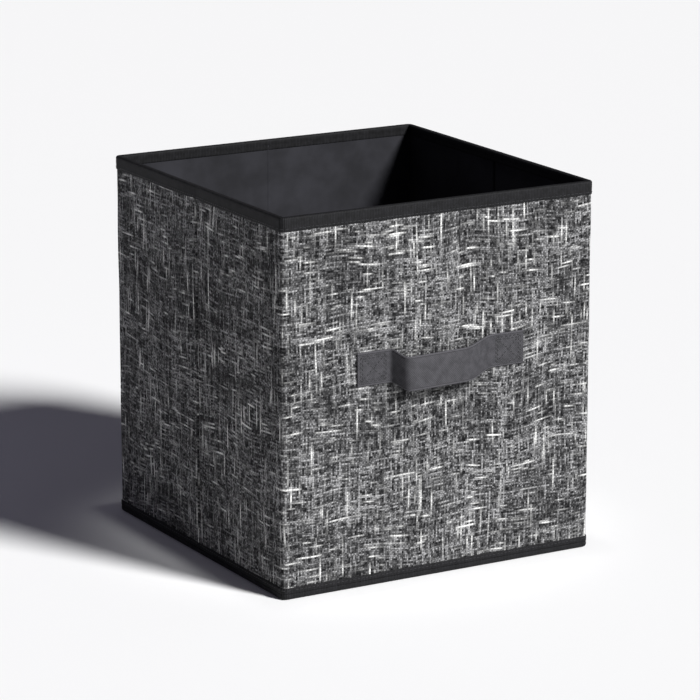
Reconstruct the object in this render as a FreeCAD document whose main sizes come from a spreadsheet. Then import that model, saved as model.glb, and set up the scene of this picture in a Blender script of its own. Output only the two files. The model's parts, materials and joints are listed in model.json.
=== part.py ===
"""Foldable fabric storage bin: boarded cloth walls, a lift-out base insert and two strap handles.

The bin stands on its base with +Z up, its front (a handle side) faces -Y, and the origin is the
centre of the base on the floor. The front wall, the back wall and the four half side walls are
separate boarded panels. The cloth at the corners and at the two side creases is their hinge: both
side walls fold inwards at mid-depth and the back wall comes up flat against the front wall.
All sizes are millimetres.
"""

import FreeCAD, Part
import os

import Sketcher

# ------------------------------------------------------------------ driving dimensions
SIZES = {
    # overall
    "width": 260.0,  # over the two side walls
    "depth": 260.0,  # over the front and back walls
    "height": 280.0,  # floor to the top of the rim
    # wall layers, from the outside in
    "cover_thk": 0.6,
    "board_thk": 2.0,
    "lining_thk": 0.5,
    # rim tape
    "tape_thk": 0.5,
    "tape_drop": 10.0,
    # running clearance between pieces that fold against each other
    "fold_gap": 0.3,
    # corner cloth: radius of the bend, and its reach over the front and the side
    "corner_radius": 2.4,
    "corner_front_reach": 7.0,
    "corner_side_reach": 7.0,
    # crease in each side wall: the bare cloth between the boards, and the cloth strip's width
    "crease_gap": 5.0,
    "crease_strip": 10.0,
    # base cloth and the hem around it
    "base_thk": 0.8,
    "hem_gap": 0.1,
    "hem_thk": 0.8,
    "hem_height": 8.5,
    # base insert: a board in a cloth sleeve
    "insert_board_thk": 2.0,
    "insert_cloth_thk": 0.4,
    "insert_side_gap": 1.0,
    "insert_seat_gap": 0.2,
    "insert_head_gap": 0.7,
    # strap handles
    "strap_width": 25.0,
    "strap_thk": 1.5,
    "strap_span": 84.0,  # between the two sewn tabs
    "strap_tab": 28.0,  # length of each sewn tab
    "strap_bow": 15.0,  # clear space behind the strap
    "strap_steep_angle": 65.0,  # rise of the strap at one end
    "strap_gentle_angle": 28.0,  # and at the other
    "strap_bend": 3.0,  # inner radius of each bend
    "strap_split": 8.0,  # how far out the swinging grip begins
    "handle_height": 163.0,  # centre of the strap above the floor
}

# ------------------------------------------------------------------ positions worked out from them
HALF_WIDTH = "Sizes.width / 2"
HALF_DEPTH = "Sizes.depth / 2"
WALL = "(Sizes.cover_thk + Sizes.board_thk + Sizes.lining_thk)"
TO_LINING = "(Sizes.cover_thk + Sizes.board_thk)"
INSERT_THK = "(Sizes.insert_board_thk + 2 * Sizes.insert_cloth_thk)"
INSERT_BOTTOM = "Sizes.base_thk + Sizes.insert_seat_gap"
WALL_BOTTOM = f"{INSERT_BOTTOM} + {INSERT_THK} + Sizes.insert_head_gap"
WALL_TOP = "Sizes.height - Sizes.tape_thk"
TAPE_BOTTOM = "Sizes.height - Sizes.tape_drop"
# the wall board's thickness limits how far its edge can be rounded, and the cloth follows the board
CORNER_BEND = "min(Sizes.corner_radius; 0.95 * Sizes.board_thk + Sizes.cover_thk)"
# a half side wall runs from just behind the front or back wall to the crease
SIDE_START = f"({HALF_DEPTH} - {WALL} - Sizes.tape_thk - Sizes.fold_gap)"

doc = FreeCAD.newDocument("StorageBin")
sizes = doc.addObject("Spreadsheet::Sheet", "Sizes")
for row, (alias, size) in enumerate(SIZES.items(), start=1):
    sizes.set(f"A{row}", str(size))
    sizes.setAlias(f"A{row}", alias)
doc.recompute()

nodes = []


def amount(expression):
    """The number that an expression gives with the present sizes."""
    return float(sizes.evalExpression(expression))


def plane_of(body, role):
    """One of a body's own origin planes."""
    return next(f for f in body.Origin.OriginFeatures if f.Role == role)


def new_body(label, turned=False):
    """A body for one piece; a turned one is rotated half a turn about the bin's upright centre line."""
    body = doc.addObject("PartDesign::Body", label)
    body.Label = label
    if turned:
        body.Placement = FreeCAD.Placement(
            FreeCAD.Vector(0, 0, 0), FreeCAD.Rotation(FreeCAD.Vector(0, 0, 1), 180)
        )
    nodes.append(body)
    return body


def outline(sketch, corners):
    """A closed polygon whose corners are held at (across, up) expressions from the sketch's origin."""
    first = sketch.GeometryCount
    points = [FreeCAD.Vector(amount(a), amount(b), 0) for a, b in corners]
    count = len(points)
    for i in range(count):
        sketch.addGeometry(Part.LineSegment(points[i], points[(i + 1) % count]), False)
    for i in range(count):
        line, following = first + i, first + (i + 1) % count
        sketch.addConstraint(Sketcher.Constraint("Coincident", line, 2, following, 1))
    for i, (across, up) in enumerate(corners):
        for kind, place in (("DistanceX", across), ("DistanceY", up)):
            index = sketch.addConstraint(
                Sketcher.Constraint(kind, -1, 1, first + i, 1, amount(place))
            )
            sketch.setExpression(f"Constraints[{index}]", place)


def pad(body, role, outlines, start, end):
    """Extrudes one or more outlines along the plane's normal, from start to end (expressions)."""
    sketch = body.newObject("Sketcher::SketchObject", "Sketch")
    sketch.AttachmentSupport = (plane_of(body, role), [""])
    sketch.MapMode = "FlatFace"
    sketch.setExpression("AttachmentOffset.Base.z", start)
    for corners in outlines:
        outline(sketch, corners)
    feature = body.newObject("PartDesign::Pad", "Pad")
    feature.Profile = sketch
    feature.setExpression("Length", f"({end}) - ({start})")
    doc.recompute()
    return feature


def rectangle(x_low, x_high, y_low, y_high):
    """The four corners of a rectangle, as expressions."""
    return [(x_low, y_low), (x_high, y_low), (x_high, y_high), (x_low, y_high)]


def around(half_x, half_y):
    """A rectangle centred on the origin."""
    return rectangle(f"-({half_x})", f"{half_x}", f"-({half_y})", f"{half_y}")


def round_edges(body, base, radius, places):
    """Fillets the upright edges that stand at the given (x, y) expressions."""
    wanted = [(amount(x), amount(y)) for x, y in places]
    names = []
    for number, edge in enumerate(base.Shape.Edges, start=1):
        low, high = edge.Vertexes[0].Point, edge.Vertexes[-1].Point
        upright = abs(low.x - high.x) < 1e-6 and abs(low.y - high.y) < 1e-6
        near = [p for p in wanted if abs(low.x - p[0]) < 1e-4 and abs(low.y - p[1]) < 1e-4]
        if upright and near:
            names.append(f"Edge{number}")
    if len(names) != len(places):
        raise RuntimeError(f"{body.Label}: {len(names)} edges found for {len(places)} bends")
    fillet = body.newObject("PartDesign::Fillet", "Fillet")
    fillet.Base = (base, names)
    fillet.setExpression("Radius", radius)
    doc.recompute()
    return fillet


# ------------------------------------------------------------------ front and back walls
def wall_layers(side, turned):
    """Board, cover and lining of the front wall, or of the back wall when turned."""
    board_x = f"{HALF_WIDTH} - Sizes.cover_thk"
    board = new_body(f"{side}_board", turned)
    outside = f"-({HALF_DEPTH}) + Sizes.cover_thk"
    flat = pad(
        board,
        "XY_Plane",
        [rectangle(f"-({board_x})", board_x, outside, f"-({HALF_DEPTH}) + {TO_LINING}")],
        WALL_BOTTOM,
        WALL_TOP,
    )
    round_edges(
        board,
        flat,
        f"{CORNER_BEND} - Sizes.cover_thk",
        [(f"-({board_x})", outside), (board_x, outside)],
    )
    reach = f"{HALF_WIDTH} - Sizes.corner_front_reach"
    pad(
        new_body(f"{side}_cover", turned),
        "XY_Plane",
        [rectangle(f"-({reach})", reach, f"-({HALF_DEPTH})", outside)],
        WALL_BOTTOM,
        WALL_TOP,
    )
    pad(
        new_body(f"{side}_lining", turned),
        "XY_Plane",
        [
            rectangle(
                f"-({board_x})",
                board_x,
                f"-({HALF_DEPTH}) + {TO_LINING}",
                f"-({HALF_DEPTH}) + {WALL}",
            )
        ],
        WALL_BOTTOM,
        WALL_TOP,
    )


def bin_hand(hand, turned):
    """The bin's own left or right for a side of the front wall, or of the back wall when turned."""
    if turned:
        return "right" if hand == "left" else "left"
    return hand


def corner_cloth(side, hand, turned):
    """The cover's cloth where it turns a corner: it is the hinge between the wall and the side."""
    sign = "-" if hand == "left" else ""
    body = new_body(f"{side}_{bin_hand(hand, turned)}_corner_cloth", turned)
    outer_x, inner_x = f"{sign}({HALF_WIDTH})", f"{sign}({HALF_WIDTH} - Sizes.cover_thk)"
    reach_x = f"{sign}({HALF_WIDTH} - Sizes.corner_front_reach)"
    outer_y, inner_y = f"-({HALF_DEPTH})", f"-({HALF_DEPTH}) + Sizes.cover_thk"
    reach_y = f"-({HALF_DEPTH}) + Sizes.corner_side_reach"
    bent = pad(
        body,
        "XY_Plane",
        [
            [
                (reach_x, outer_y),
                (outer_x, outer_y),
                (outer_x, reach_y),
                (inner_x, reach_y),
                (inner_x, inner_y),
                (reach_x, inner_y),
            ]
        ],
        WALL_BOTTOM,
        WALL_TOP,
    )
    outer = round_edges(body, bent, CORNER_BEND, [(outer_x, outer_y)])
    round_edges(body, outer, f"{CORNER_BEND} - Sizes.cover_thk", [(inner_x, inner_y)])


def wall_rim(side, turned):
    """Rim tape folded over the top of the front or back wall and round its two ends."""
    body = new_body(f"{side}_rim_tape", turned)
    over_x = f"{HALF_WIDTH} + Sizes.tape_thk"
    face, back_face = f"-({HALF_DEPTH})", f"-({HALF_DEPTH}) + {WALL}"
    top = rectangle(
        f"-({over_x})", over_x, f"{face} - Sizes.tape_thk", f"{back_face} + Sizes.tape_thk"
    )
    pad(body, "XY_Plane", [top], WALL_TOP, "Sizes.height")
    outer_leaf = [
        (f"-({over_x})", f"{face} - Sizes.tape_thk"),
        (over_x, f"{face} - Sizes.tape_thk"),
        (over_x, back_face),
        (HALF_WIDTH, back_face),
        (HALF_WIDTH, face),
        (f"-({HALF_WIDTH})", face),
        (f"-({HALF_WIDTH})", back_face),
        (f"-({over_x})", back_face),
    ]
    # the inner leaf stops short of the corner cloth, which passes its ends
    leaf_x = f"{HALF_WIDTH} - Sizes.cover_thk"
    inner_leaf = rectangle(
        f"-({leaf_x})", leaf_x, back_face, f"{back_face} + Sizes.tape_thk"
    )
    pad(body, "XY_Plane", [outer_leaf, inner_leaf], TAPE_BOTTOM, WALL_TOP)


# ------------------------------------------------------------------ half side walls
def side_half(prefix, far, turned):
    """Board, cover, lining and rim tape of one half of a side wall.

    The near half lies at -Y and the far half at +Y; turned, they are the right side's two halves.
    """

    def span(near_end, far_end):
        return (f"{near_end}", f"{far_end}") if far else (f"-({far_end})", f"-({near_end})")

    layers = {
        "board": (
            f"-({HALF_WIDTH}) + Sizes.cover_thk",
            f"-({HALF_WIDTH}) + {TO_LINING}",
            span("Sizes.crease_gap / 2", SIDE_START),
        ),
        "cover": (
            f"-({HALF_WIDTH})",
            f"-({HALF_WIDTH}) + Sizes.cover_thk",
            span("Sizes.crease_strip / 2", f"{HALF_DEPTH} - Sizes.corner_side_reach"),
        ),
        "lining": (
            f"-({HALF_WIDTH}) + {TO_LINING}",
            f"-({HALF_WIDTH}) + {WALL}",
            span("Sizes.crease_strip / 2", SIDE_START),
        ),
    }
    for name, (x_low, x_high, (y_low, y_high)) in layers.items():
        pad(
            new_body(f"{prefix}_{name}", turned),
            "XY_Plane",
            [rectangle(x_low, x_high, y_low, y_high)],
            WALL_BOTTOM,
            WALL_TOP,
        )
    y_low, y_high = span("Sizes.fold_gap / 2", SIDE_START)
    out, into = f"-({HALF_WIDTH})", f"-({HALF_WIDTH}) + {WALL}"
    channel = [
        (f"{out} - Sizes.tape_thk", TAPE_BOTTOM),
        (out, TAPE_BOTTOM),
        (out, WALL_TOP),
        (into, WALL_TOP),
        (into, TAPE_BOTTOM),
        (f"{into} + Sizes.tape_thk", TAPE_BOTTOM),
        (f"{into} + Sizes.tape_thk", "Sizes.height"),
        (f"{out} - Sizes.tape_thk", "Sizes.height"),
    ]
    # the XZ plane's normal points to -Y
    pad(
        new_body(f"{prefix}_rim_tape", turned),
        "XZ_Plane",
        [channel],
        f"-({y_high})",
        f"-({y_low})",
    )


def crease_cloth(side, turned):
    """The two strips of bare cloth at mid-depth that a side wall folds on."""
    half = "Sizes.crease_strip / 2"
    for name, x_low, x_high in (
        ("crease_cloth", f"-({HALF_WIDTH})", f"-({HALF_WIDTH}) + Sizes.cover_thk"),
        ("crease_lining", f"-({HALF_WIDTH}) + {TO_LINING}", f"-({HALF_WIDTH}) + {WALL}"),
    ):
        pad(
            new_body(f"{side}_{name}", turned),
            "XY_Plane",
            [rectangle(x_low, x_high, f"-({half})", half)],
            WALL_BOTTOM,
            WALL_TOP,
        )


# ------------------------------------------------------------------ base
def base():
    """The base cloth sewn under the bin and the hem that wraps its edge."""
    edge_x, edge_y = f"{HALF_WIDTH} + Sizes.hem_gap", f"{HALF_DEPTH} + Sizes.hem_gap"
    pad(new_body("base_cloth"), "XY_Plane", [around(edge_x, edge_y)], "0", "Sizes.base_thk")
    outer = around(f"{edge_x} + Sizes.hem_thk", f"{edge_y} + Sizes.hem_thk")
    pad(new_body("base_hem"), "XY_Plane", [outer, around(edge_x, edge_y)], "0", "Sizes.hem_height")


def insert():
    """The stiff base insert that lies loose on the base cloth and holds the walls square."""
    half_x = f"{HALF_WIDTH} - {WALL} - Sizes.insert_side_gap"
    half_y = f"{HALF_DEPTH} - {WALL} - Sizes.insert_side_gap"
    core = around(f"{half_x} - Sizes.insert_cloth_thk", f"{half_y} - Sizes.insert_cloth_thk")
    core_bottom = f"{INSERT_BOTTOM} + Sizes.insert_cloth_thk"
    core_top = f"{core_bottom} + Sizes.insert_board_thk"
    whole = around(half_x, half_y)
    pad(new_body("insert_board"), "XY_Plane", [core], core_bottom, core_top)
    pad(new_body("insert_underside_cloth"), "XY_Plane", [whole], INSERT_BOTTOM, core_bottom)
    sleeve = new_body("insert_top_cloth")
    pad(sleeve, "XY_Plane", [whole, core], core_bottom, core_top)
    pad(sleeve, "XY_Plane", [whole], core_top, f"{INSERT_BOTTOM} + {INSERT_THK}")


# ------------------------------------------------------------------ strap handles
def strap_edge(sign, angle, outward):
    """Where the strap's two faces stand at a distance out from the wall: (wall side, outer side)."""
    wall_side = f"Sizes.strap_span / 2 - ({outward}) / tan({angle})"
    return f"{sign}({wall_side})", f"{sign}({wall_side} + Sizes.strap_thk / sin({angle}))"


def handle(side, turned):
    """One strap handle: two sewn ends and the grip that bows out between them."""
    bottom = "Sizes.handle_height - Sizes.strap_width / 2"
    top = "Sizes.handle_height + Sizes.strap_width / 2"
    face = f"-({HALF_DEPTH})"
    surface = f"{face} - Sizes.strap_thk"
    split = f"{face} - Sizes.strap_split"
    crown_in = f"{face} - Sizes.strap_bow"
    crown_out = f"{crown_in} - Sizes.strap_thk"
    crown = {}
    for hand, sign, angle in (
        ("left", "-", "Sizes.strap_steep_angle"),
        ("right", "", "Sizes.strap_gentle_angle"),
    ):
        root = f"{sign}(Sizes.strap_span / 2)"
        root_out = f"{sign}(Sizes.strap_span / 2 + Sizes.strap_thk * tan({angle} / 2))"
        tab_end = f"{sign}(Sizes.strap_span / 2 + Sizes.strap_tab)"
        split_in, split_out = strap_edge(sign, angle, "Sizes.strap_split")
        body = new_body(f"{side}_handle_{bin_hand(hand, turned)}_end", turned)
        bent = pad(
            body,
            "XY_Plane",
            [
                [
                    (tab_end, face),
                    (root, face),
                    (split_in, split),
                    (split_out, split),
                    (root_out, surface),
                    (tab_end, surface),
                ]
            ],
            bottom,
            top,
        )
        inner = round_edges(body, bent, "Sizes.strap_bend", [(root_out, surface)])
        round_edges(body, inner, "Sizes.strap_bend + Sizes.strap_thk", [(root, face)])
        crown_x = f"{sign}(Sizes.strap_span / 2 - Sizes.strap_bow / tan({angle}))"
        crown_x_out = (
            f"{sign}(Sizes.strap_span / 2 - Sizes.strap_bow / tan({angle})"
            f" + Sizes.strap_thk * tan({angle} / 2))"
        )
        crown[hand] = (split_in, split_out, crown_x, crown_x_out)
    left, right = crown["left"], crown["right"]
    body = new_body(f"{side}_handle_grip", turned)
    bent = pad(
        body,
        "XY_Plane",
        [
            [
                (left[0], split),
                (left[2], crown_in),
                (right[2], crown_in),
                (right[0], split),
                (right[1], split),
                (right[3], crown_out),
                (left[3], crown_out),
                (left[1], split),
            ]
        ],
        bottom,
        top,
    )
    inner = round_edges(
        body, bent, "Sizes.strap_bend", [(left[2], crown_in), (right[2], crown_in)]
    )
    round_edges(
        body,
        inner,
        "Sizes.strap_bend + Sizes.strap_thk",
        [(left[3], crown_out), (right[3], crown_out)],
    )


# ------------------------------------------------------------------ assembly
for side, turned in (("front", False), ("back", True)):
    wall_layers(side, turned)
    for hand in ("left", "right"):
        corner_cloth(side, hand, turned)
    wall_rim(side, turned)
    handle(side, turned)
for side, turned in (("left", False), ("right", True)):
    # a half turn swaps near and far, so the right side's front half is the far one
    side_half(f"{side}_front", turned, turned)
    side_half(f"{side}_rear", not turned, turned)
    crease_cloth(side, turned)
base()
insert()
doc.recompute()

# ------------------------------------------------------------------ checks and export
for item in doc.Objects:
    if "Invalid" in item.State or "Error" in item.State:
        raise RuntimeError(f"{item.Name} ({item.Label}) failed: {item.State}")
for body in nodes:
    if body.Shape.isNull() or not body.Shape.isValid() or len(body.Shape.Solids) != 1:
        raise RuntimeError(f"{body.Label} isn't one valid solid")

os.makedirs("parts", exist_ok=True)
for body in nodes:
    body.Shape.exportStep(f"parts/{body.Label}.step")
print(f"{len(nodes)} pieces written")
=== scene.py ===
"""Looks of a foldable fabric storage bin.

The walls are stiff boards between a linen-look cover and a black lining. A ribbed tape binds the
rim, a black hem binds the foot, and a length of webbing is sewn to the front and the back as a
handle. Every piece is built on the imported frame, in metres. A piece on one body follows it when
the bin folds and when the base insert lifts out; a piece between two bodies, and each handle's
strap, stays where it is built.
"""

from __future__ import annotations

import json
import logging
import math
from dataclasses import dataclass
from enum import Enum

import bpy
import numpy as np
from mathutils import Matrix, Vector

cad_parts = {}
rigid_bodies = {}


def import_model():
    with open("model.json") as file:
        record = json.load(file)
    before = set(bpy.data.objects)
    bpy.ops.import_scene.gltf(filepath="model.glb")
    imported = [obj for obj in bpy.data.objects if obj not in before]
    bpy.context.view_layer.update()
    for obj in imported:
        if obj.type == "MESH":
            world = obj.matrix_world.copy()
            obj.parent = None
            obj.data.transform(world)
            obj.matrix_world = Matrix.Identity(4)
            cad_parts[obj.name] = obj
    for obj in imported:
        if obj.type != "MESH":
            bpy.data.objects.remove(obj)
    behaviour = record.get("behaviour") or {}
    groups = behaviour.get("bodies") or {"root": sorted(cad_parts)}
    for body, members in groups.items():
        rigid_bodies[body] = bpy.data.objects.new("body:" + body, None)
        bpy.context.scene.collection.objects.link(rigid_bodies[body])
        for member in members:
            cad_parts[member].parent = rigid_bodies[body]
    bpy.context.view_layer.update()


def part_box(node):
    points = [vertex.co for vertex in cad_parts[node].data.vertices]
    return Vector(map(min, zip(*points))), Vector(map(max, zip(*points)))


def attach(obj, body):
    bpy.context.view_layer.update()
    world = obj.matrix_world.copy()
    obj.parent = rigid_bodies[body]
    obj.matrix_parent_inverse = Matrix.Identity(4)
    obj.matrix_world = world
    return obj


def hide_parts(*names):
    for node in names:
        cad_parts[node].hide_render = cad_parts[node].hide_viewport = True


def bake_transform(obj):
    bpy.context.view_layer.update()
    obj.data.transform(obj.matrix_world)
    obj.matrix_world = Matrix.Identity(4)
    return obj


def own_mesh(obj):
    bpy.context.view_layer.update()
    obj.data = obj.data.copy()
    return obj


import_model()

MM = 0.001
CLOTH_MAP = "Cloth"  # each piece's UV map, in metres along and up its cloth
SMOOTH = {"interpolation_type": "SMOOTHSTEP"}  # a range that is mapped with soft ends
LOG = logging.getLogger("storage_bin")


# ------------------------------------------------------------------------------ colour and nodes
def linear(code: str) -> tuple[float, float, float, float]:
    """An sRGB hex colour as linear red, green, blue and a full alpha.

    Args:
        code: six hex digits.

    Returns:
        The colour that a shader socket takes.
    """
    shares = [int(code[i : i + 2], 16) / 255 for i in (0, 2, 4)]
    red, green, blue = (
        c / 12.92 if c <= 0.04045 else ((c + 0.055) / 1.055) ** 2.4 for c in shares
    )
    return red, green, blue, 1.0


class NodeSheet:
    """The node tree of one material."""

    def __init__(self, name: str) -> None:
        """Starts an empty material.

        Args:
            name: the material's name.
        """
        self.material = bpy.data.materials.new(name)
        self.material.use_nodes = True
        self.tree = self.material.node_tree
        self.tree.nodes.clear()

    def add(self, kind: str, *feeds: object, **given: object) -> bpy.types.Node:
        """Adds a node with its settings and links.

        Args:
            kind: the node's type, without ShaderNode.
            feeds: what its sockets in use take, in their order: a number, a colour, a vector, an
                output, or a node, which stands for its first output in use.
            given: the node's own settings, in small letters, and what a socket takes by its name,
                with a capital first and _ for a space.

        Returns:
            The new node.
        """
        node = self.tree.nodes.new(f"ShaderNode{kind}")
        for key, value in given.items():
            if key[0].islower():
                setattr(node, key, value)
        fed = list(zip([socket for socket in node.inputs if socket.enabled], feeds))
        fed += [(node.inputs[key.replace("_", " ")], value) for key, value in given.items()
                if key[0].isupper()]
        for socket, value in fed:
            if isinstance(value, bpy.types.Node):
                value = next(output for output in value.outputs if output.enabled)
            if isinstance(value, bpy.types.NodeSocket):
                self.tree.links.new(value, socket)
            else:
                socket.default_value = value
        return node

    def surface(self, colour: object, height: object, relief: float, strength: float,
                roughness: float, ior: float, shine: float = 0.5) -> bpy.types.Material:
        """Ends the tree in a surface with a fine relief.

        Args:
            colour: its colour, or what gives it.
            height: what gives the relief's height.
            relief: how deep the relief is.
            strength: how much of the relief the light sees.
            roughness: how rough it is, from 0 to 1.
            ior: its index of refraction.
            shine: how strongly it mirrors, where 0.5 is what the index gives.

        Returns:
            The material.
        """
        bump = self.add("Bump", strength, relief, Height=height)
        shader = self.add("BsdfPrincipled", Base_Color=colour, Roughness=roughness, IOR=ior,
                          Specular_IOR_Level=shine, Normal=bump)
        self.add("OutputMaterial", shader)
        return self.material


# ------------------------------------------------------------------------------ finishes
@dataclass(frozen=True)
class Yarns:
    """What one set of parallel yarns gives at a place on the cloth."""

    index: bpy.types.Node  # which yarn it is
    shade: bpy.types.Node  # how grey the yarn is there, from 0 to 1
    slub: bpy.types.Node  # how much of a pale slub shows, from 0 to 1
    crown: bpy.types.Node  # the yarn's round height


@dataclass(frozen=True)
class LinenLookCloth:
    """Plain-woven slub cloth, yarn-dyed black with grey and off-white slub yarns both ways.

    The eye gets a busy cross-hatch: black gaps, grey threads that come and go, and broken pale
    streaks that run a few centimetres along the warp or the weft, on cloth that is matte with
    almost no sheen.
    """

    black: str = "0d0d0f"
    grey: str = "9c9c9d"
    pale: str = "dededc"
    thread: float = 1.35 * MM  # real yarns are about 0.6 mm: drawn twice as coarse, to show
    tuft: float = 7 * MM  # the usual length of a change of grey along a yarn
    warp_streak: float = 34 * MM  # the usual length of a slub in the warp
    weft_streak: float = 22 * MM  # and in the weft
    cluster: float = 22 * MM  # the size of the places that slubs gather in
    patch: float = 55 * MM  # the size of lighter and darker areas
    speck: float = 1.5 * MM  # the size of darker specks
    fibre: float = 0.35 * MM  # the size of loose fibres on the yarns
    drift: float = 80 * MM  # the length over which the grain wanders
    warp_waver: float = 6 * MM  # how far the warp wanders off straight
    weft_waver: float = 20 * MM  # and the weft
    under: float = 0.5  # how much of a grey yarn shows where it passes under another
    slub_under: float = 0.7  # how much of a slub does
    relief: float = 0.3 * MM

    def material(self) -> bpy.types.Material:
        """Builds the cloth's material from the cloth map."""
        n = NodeSheet("linen_look_polyester_cloth")
        flat = n.add("UVMap", uv_map=CLOTH_MAP)
        wander = n.add("TexNoise", flat, 1 / self.drift, 1.5).outputs["Color"]
        centred = n.add("VectorMath", wander, (0.5, 0.5, 0.5), operation="SUBTRACT")
        # the warp runs almost straight up, and the rows of weft wander
        waver = (self.warp_waver, self.weft_waver, 0.0)
        shift = n.add("VectorMath", centred, waver, operation="MULTIPLY")
        place = n.add("VectorMath", flat, shift, operation="ADD")
        across, up, _ = n.add("SeparateXYZ", place).outputs
        gather = n.add("TexNoise", place, 1 / self.cluster, 1.0)
        warp = self._yarns(n, across, up, gather, self.warp_streak, seed=3.7)
        weft = self._yarns(n, up, across, gather, self.weft_streak, seed=41.3)
        # the yarn on top changes at each crossing
        crossing = n.add("Math", warp.index, weft.index, operation="ADD")
        parity = n.add("Math", crossing, 1.0, operation="PINGPONG")
        over = n.add("MapRange", parity, 0.3, 0.7, **SMOOTH)
        lit = self._topmost(n, over, warp.shade, weft.shade, self.under)
        slub = self._topmost(n, over, warp.slub, weft.slub, self.slub_under)
        for size, detail, dimmest, brightest in (
            (self.patch, 3.0, 0.6, 1.35), (self.speck, 2.0, 0.45, 1.5),
        ):
            cloud = n.add("TexNoise", place, 1 / size, detail, 0.6)
            share = n.add("MapRange", cloud, 0.3, 0.7, dimmest, brightest, **SMOOTH)
            lit = n.add("Math", lit, share, operation="MULTIPLY")
        tone = n.add("Mix", lit, linear(self.black), linear(self.grey), data_type="RGBA")
        colour = n.add("Mix", slub, tone, linear(self.pale), data_type="RGBA")
        height = n.add("Mix", over, warp.crown, weft.crown, data_type="FLOAT")
        # painted shade: the colour is darkened where each yarn's round crown falls away towards the
        # gaps between yarns
        gap = n.add("MapRange", height, 0.0, 0.6, 0.35, 1.0, **SMOOTH)
        painted_yarn_shade = n.add("CombineColor", gap, gap, gap)
        dark = n.add("Mix", 1.0, colour, painted_yarn_shade, data_type="RGBA", blend_type="MULTIPLY")
        fibre = n.add("TexNoise", place, 1 / self.fibre, 2.0, 0.7)
        raised = n.add("Math", fibre, 0.35, height, operation="MULTIPLY_ADD")
        raised = n.add("Math", slub, 0.5, raised, operation="MULTIPLY_ADD")
        return n.surface(dark, raised, self.relief, 0.8, roughness=0.9, ior=1.5, shine=0.15)

    def _topmost(self, n: NodeSheet, over: object, warp: object, weft: object,
                 under: float) -> bpy.types.Node:
        """The stronger of the warp's and the weft's values, each dimmed where it passes under.

        Args:
            n: the material's sheet.
            over: 0 where the warp is on top, 1 where the weft is.
            warp: the warp's value.
            weft: the weft's value.
            under: how much of a value shows where its yarn passes under.

        Returns:
            The node that gives it.
        """
        shown = []
        for value, on_warp, on_weft in ((warp, 1.0, under), (weft, under, 1.0)):
            share = n.add("MapRange", over, 0.0, 1.0, on_warp, on_weft, **SMOOTH)
            shown.append(n.add("Math", value, share, operation="MULTIPLY"))
        return n.add("Math", *shown, operation="MAXIMUM")

    def _yarns(self, n: NodeSheet, across: object, along: object, gather: object,
               streak: float, seed: float) -> Yarns:
        """One set of parallel yarns.

        Args:
            n: the material's sheet.
            across: the place across the yarns.
            along: the place along them.
            gather: where slubs gather, from 0 to 1.
            streak: the usual length of a slub.
            seed: sets this set of yarns apart from the other.

        Returns:
            What the yarns give.
        """
        row = n.add("Math", across, self.thread, operation="DIVIDE")
        index = n.add("Math", row, operation="FLOOR")
        within = n.add("Math", row, operation="FRACT")
        shades = []
        # each runs along a yarn unlike its neighbours: how far apart yarns are in the noise, how
        # long a change is, the noise's place and detail, and the range that is mapped
        for apart, run, slice_at, detail, mapped in (
            (3.17, self.tuft, seed + 9, 3.0, (0.40, 0.66)),
            (5.73, 6 * streak, seed + 21, 0.0, (0.3, 0.7, 0.2, 1.05)),
            (7.31, streak, seed, 1.5, (0.58, 0.73)),
            (2.41, 0.35 * self.tuft, seed + 33, 2.0, (0.3, 0.55, 0.35, 1.0)),
        ):
            yarn = n.add("Math", index, apart, operation="MULTIPLY")
            walked = n.add("Math", along, run, operation="DIVIDE")
            where = n.add("CombineXYZ", yarn, walked, slice_at)
            cloud = n.add("TexNoise", where, 1.0, detail, 0.65)
            shades.append(n.add("MapRange", cloud, *mapped, **SMOOTH))
        tufts, whole, long_run, frayed = shades
        gathered = n.add("MapRange", gather, 0.38, 0.62, 0.25, 1.25, **SMOOTH)
        slub = n.add("Math", long_run, frayed, operation="MULTIPLY")
        slub = n.add("Math", slub, gathered, operation="MULTIPLY")
        arch = n.add("Math", within, math.pi, operation="MULTIPLY")
        return Yarns(index, n.add("Math", tufts, whole, operation="MULTIPLY"), slub,
                     n.add("Math", arch, operation="SINE"))


@dataclass(frozen=True)
class NonWovenLining:
    """Spunbonded black polypropylene, pressed with a fine grid of bonding points.

    It gives the eye a flat, slightly bluish black with a soft sheen where it faces the light.
    """

    black: str = "1b1b1f"
    faded: str = "29292e"
    bond: float = 2.0 * MM  # real bonding points are about 1.2 mm apart: drawn coarser
    fibre: float = 0.7 * MM
    patch: float = 38 * MM  # the size of faded areas
    relief: float = 0.08 * MM

    def material(self) -> bpy.types.Material:
        """Builds the lining's material from the cloth map."""
        n = NodeSheet("spunbond_polypropylene_lining")
        flat = n.add("UVMap", uv_map=CLOTH_MAP)
        cells = n.add("TexVoronoi", flat, 1 / self.bond, Randomness=0.35)
        point = n.add("MapRange", cells, 0.12, 0.34, **SMOOTH)
        felt = n.add("TexNoise", flat, 1 / self.fibre, 4.0, 0.7)
        cloud = n.add("TexNoise", flat, 1 / self.patch, 3.0, 0.6)
        fading = n.add("MapRange", cloud, 0.3, 0.7, **SMOOTH)
        tone = n.add("Mix", fading, linear(self.black), linear(self.faded), data_type="RGBA")
        pressed = n.add("Math", point, 0.6, operation="MULTIPLY")
        height = n.add("Math", felt, 0.5, pressed, operation="MULTIPLY_ADD")
        return n.surface(tone, height, self.relief, 0.5, roughness=0.7, ior=1.49, shine=0.25)


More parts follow.
